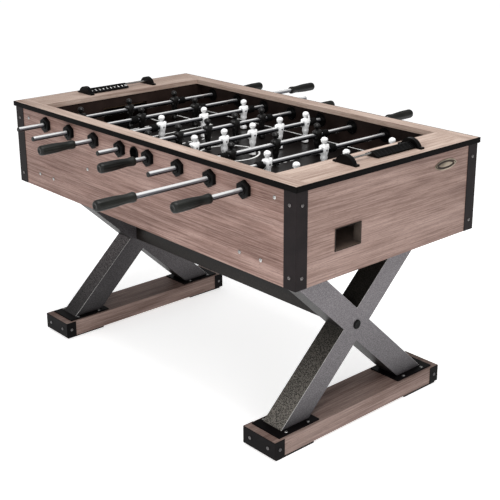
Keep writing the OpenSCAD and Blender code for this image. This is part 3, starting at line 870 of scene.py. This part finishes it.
def men_mesh(name, material, face):
    """A moulded player in mm with the rod's axis at the origin; it looks along X * face."""
    bm = bmesh.new()

    def ball(x, y, z, rx, ry, rz, tilt=0.0):
        made = bmesh.ops.create_uvsphere(bm, u_segments=24, v_segments=16, radius=1.0)["verts"]
        turn = Matrix.Rotation(tilt, 3, "X")
        for v in made:
            p = turn @ Vector((v.co.x * rx, v.co.y * ry, v.co.z * rz))
            v.co = Vector((face * (x + p.x), y + p.y, z + p.z)) * MM

    def column(sections):
        """A closed stack of rounded boxes: (z, centre x, half depth x, half width y)."""
        rings = []
        for z, cx, hx, hy in sections:
            ring = []
            for i in range(20):
                a = TURN * i / 20
                c, s = math.cos(a), math.sin(a)
                px = cx + hx * math.copysign(abs(c) ** 0.55, c)
                py = hy * math.copysign(abs(s) ** 0.55, s)
                ring.append(bm.verts.new(Vector((face * px, py, z)) * MM))
            rings.append(ring)
        skin(bm, rings)
        bm.faces.new(rings[0])
        bm.faces.new(rings[-1])

    ball(0, 0, 31, 11.0, 10.6, 11)
    ball(-1.2, 0, 33.2, 11.2, 11.0, 8.8)
    ball(10.6, 0, 29.5, 2.2, 2.0, 2.6)
    ball(9.0, 0, 33, 2.6, 6.8, 1.8)
    ball(8.8, 0, 25.4, 2.6, 4.6, 1.7)
    for side in (-1, 1):
        ball(0, side * 10.7, 30, 3.0, 1.4, 3.4)
        ball(0, side * 13.6, 11.5, 7.0, 6.8, 6.6)
        ball(0.5, side * 16.8, 5, 5.8, 4.4, 9.0, side * 0.16)
        ball(2.4, side * 16.4, -4.5, 5.4, 4.4, 6.0, -side * 0.2)
        ball(4.6, side * 12.4, -9.5, 4.6, 4.6, 4.2)
    column([(17, 0, 5.0, 5.6), (20, 0, 4.8, 4.9), (26, 0, 5.2, 5.0)])
    column([(-20, 0, 9.6, 8.8), (-13, 0, 11.4, 9.6), (-4, 0, 13.0, 11.6), (3, 0, 13.4, 13.2),
            (10, 0, 12.0, 15.4), (15, 0, 9.2, 13.4), (18.5, 0, 6.0, 8.0)])
    column([(-34, 0, 8.2, 8.2), (-26, 0, 9.8, 10.4), (-18, 0, 9.8, 9.4)])
    column([(-56, 0, 6.4, 7.2), (-44, 0, 6.2, 6.6), (-30, 0, 7.6, 8.0)])
    column([(-68, 0.8, 11.2, 9.6), (-60, 0.8, 10.8, 9.6), (-55, 0.2, 7.6, 8.2), (-51, 0, 6.4, 7.0)])
    piece = place_mesh(name, bm, material)
    remesh = piece.modifiers.new("fuse", "REMESH")
    remesh.mode = "VOXEL"
    remesh.voxel_size = 0.0009
    smooth = piece.modifiers.new("ease", "SMOOTH")
    smooth.factor = 0.5
    smooth.iterations = 5
    thin = piece.modifiers.new("thin", "DECIMATE")
    thin.ratio = 0.22
    bake(piece)
    mesh = piece.data
    bpy.data.objects.remove(piece)
    mesh.materials.clear()
    mesh.materials.append(material)
    soften(mesh, 60)
    return mesh


WHITE_MESH = men_mesh("player_white", WHITE_MAN, -1)
BLACK_MESH = men_mesh("player_black", BLACK_MAN, 1)
MAN_HALF = 21
MEN = (3, 2, 3, 5, 5, 3, 2, 3)


def man_places(i):
    """Middles of the men on a rod in mm, from the extent of the CAD node."""
    low, high = span("rod_%d_men" % (i + 1))
    count = MEN[i]
    first, last = low.y + MAN_HALF, high.y - MAN_HALF
    return [first + (last - first) * k / (count - 1) for k in range(count)]


def screw_mesh():
    """The screw that pins a player to the rod."""
    bm = bmesh.new()
    lathe(bm, [(3.1, -1.5), (3.1, 0.2), (2.6, 0.6), (1.3, 0.6), (1.0, -0.6), (0, -0.6)],
          Matrix.Identity(4), steps=16)
    piece = place_mesh("man_screw", bm, COAT, angle=30)
    mesh = piece.data
    bpy.data.objects.remove(piece)
    return mesh


SCREW = screw_mesh()
# In mm: how far the screw lies from the rod's axis, and the lengths of the pieces on a rod.
CHEST = 13.3
HANDLE_LONG = 128
PLUG_LONG = 3
BUMPER_LONG = 25


def men_on(i):
    """The players of a rod, each with its screw."""
    name = "rod_%d_" % (i + 1)
    mesh = WHITE_MESH if SLOT_OF[name + "men"] == "men_white" else BLACK_MESH
    for k, y in enumerate(man_places(i)):
        man = bpy.data.objects.new("%sman_%d" % (name, k + 1), mesh)
        man.location = Vector((RODS[i], y, ROD_Z)) * MM
        scene.collection.objects.link(man)
        belong(man, name + "men")
        screw = bpy.data.objects.new("%sscrew_%d" % (name, k + 1), SCREW)
        screw.matrix_world = frame_at(Vector((RODS[i] + CHEST, y, ROD_Z)) * MM, X)
        scene.collection.objects.link(screw)
        belong(screw, name + "men", replace=False)


def handle_on(i):
    """A fluted handle at the end of the rod that is further from its men, and a plug in the other."""
    name = "rod_%d_" % (i + 1)
    low, high = span(name + "handle")
    men_y = mid(name + "men").y / MM
    grip_up = high.y - men_y > men_y - low.y
    side = 1 if grip_up else -1
    grip_end = high.y if grip_up else low.y
    tip_end = low.y if grip_up else high.y
    bm = bmesh.new()
    inner = frame_at(Vector((RODS[i], grip_end - side * HANDLE_LONG, ROD_Z)) * MM, Y * side)
    lathe(bm, [(8.1, 3), (8.1, 0.6), (9, 0), (12.6, 0), (13.6, 0.8), (14.5, 3), (14.6, 10), (14.2, 14),
               (13.6, 19), (13.3, 26), (13.5, 34), (14.4, 45), (15.3, 56), (15.9, 66), (16.4, 78),
               (16.5, 92), (16.5, 116), (16.2, 120), (15.2, 124.4), (13.4, 127), (11.0, 128),
               (8.5, 127.9), (6.0, 127.4), (4.5, 126.2), (0, 126)], inner, steps=72, swell=grip_ridges)
    tip = frame_at(Vector((RODS[i], tip_end + side * PLUG_LONG, ROD_Z)) * MM, Y * -side)
    lathe(bm, [(0, 0.05), (8, 0.05), (8, 2.1), (7.4, 2.9), (6.4, 3), (0, 3)], tip, steps=32)
    belong(place_mesh(name + "handle_look", bm, GRIP, angle=32), name + "handle")


def bumpers_on(i):
    """The two rubber bumpers of a rod, with a groove round the middle."""
    name = "rod_%d_bumpers" % (i + 1)
    low, high = span(name)
    bm = bmesh.new()
    for start in (low.y, high.y - BUMPER_LONG):
        where = frame_at(Vector((RODS[i], start, ROD_Z)) * MM, Y)
        lathe(bm, [(8.15, 0.8), (9, 0), (12.3, 0), (13.3, 1.2), (13.5, 3), (13.5, 8.4), (12.6, 9.6),
                   (12.4, 12.5), (12.6, 15.4), (13.5, 16.6), (13.5, 22), (13.3, 23.8), (12.3, 25), (9, 25),
                   (8.15, 24.2)], where, steps=40)
    belong(place_mesh(name + "_look", bm, RUBBER, angle=30), name)


def repaint(node, material):
    """A new material on a CAD node that keeps its shape."""
    nodes[node].data.materials.clear()
    nodes[node].data.materials.append(material)


for rod in range(8):
    men_on(rod)
    handle_on(rod)
    bumpers_on(rod)
    repaint("rod_%d_bar" % (rod + 1), STEEL)
repaint("scorer_rods", ZINC)


# ---------------------------------------------------------------- stage

def camera():
    """The photograph's camera, from the perspective fit: its direction, lens and place."""
    azimuth, elevation, roll = math.radians(48.29), math.radians(17.61), math.radians(-0.24)
    look = Vector((-math.sin(azimuth) * math.cos(elevation), math.cos(azimuth) * math.cos(elevation),
                   -math.sin(elevation)))
    right = look.cross(Z).normalized()
    up = right.cross(look)
    right, up = (right * math.cos(roll) + up * math.sin(roll),
                 up * math.cos(roll) - right * math.sin(roll))
    data = bpy.data.cameras.new("view")
    data.sensor_width = 36
    data.lens = 73.85
    data.shift_y = -0.1
    data.clip_end = 50
    made = bpy.data.objects.new("view", data)
    turn = Matrix((right, up, -look)).transposed().to_4x4()
    turn.translation = Vector((2.5714, -2.1975, 1.6583))
    made.matrix_world = turn
    scene.collection.objects.link(made)
    scene.camera = made


camera()


def area(name, place, target, size, watts):
    """A white rectangular light that faces a target."""
    data = bpy.data.lights.new(name, "AREA")
    data.shape = "RECTANGLE"
    data.size, data.size_y = size
    data.energy = watts
    made = bpy.data.objects.new(name, data)
    made.matrix_world = frame_at(Vector(place), Vector(place) - Vector(target), up=Y)
    scene.collection.objects.link(made)


def studio():
    """A white sky, four soft lights and a pale floor."""
    world = bpy.data.worlds.new("studio")
    world.use_nodes = True
    sky = world.node_tree.nodes["Background"]
    sky.inputs["Color"].default_value = (1, 1, 1, 1)
    sky.inputs["Strength"].default_value = 0.5
    scene.world = world
    area("overhead", (0.7, -0.3, 3.2), (0.2, 0, 0.6), (2.2, 1.8), 70)
    area("front_right", (2.2, -3.1, 2.0), (0.6, 0, 0.5), (1.3, 1.3), 34)
    area("front_left", (-1.4, -3.4, 1.7), (-0.3, 0, 0.6), (1.6, 1.3), 12)
    area("right_fill", (3.6, -1.2, 1.5), (0, 0, 0.5), (1.4, 1.4), 16)
    look = Look("pale_floor", rough=0.8, specular=0.1)
    tone = look.noise(look.stretch((1, 1, 1)), scale=2, detail=2)
    look.colour(look.ramp(tone, (0.3, rgb(240, 240, 240)), (0.7, rgb(243, 243, 243))))
    look.shader.inputs["Emission Color"].default_value = (1, 1, 1, 1)
    look.shader.inputs["Emission Strength"].default_value = 0.58
    bm = bmesh.new()
    bmesh.ops.create_grid(bm, x_segments=2, y_segments=2, size=30)
    floor = place_mesh("floor", bm, look.material)
    scene.view_settings.view_transform = "Standard"


studio()
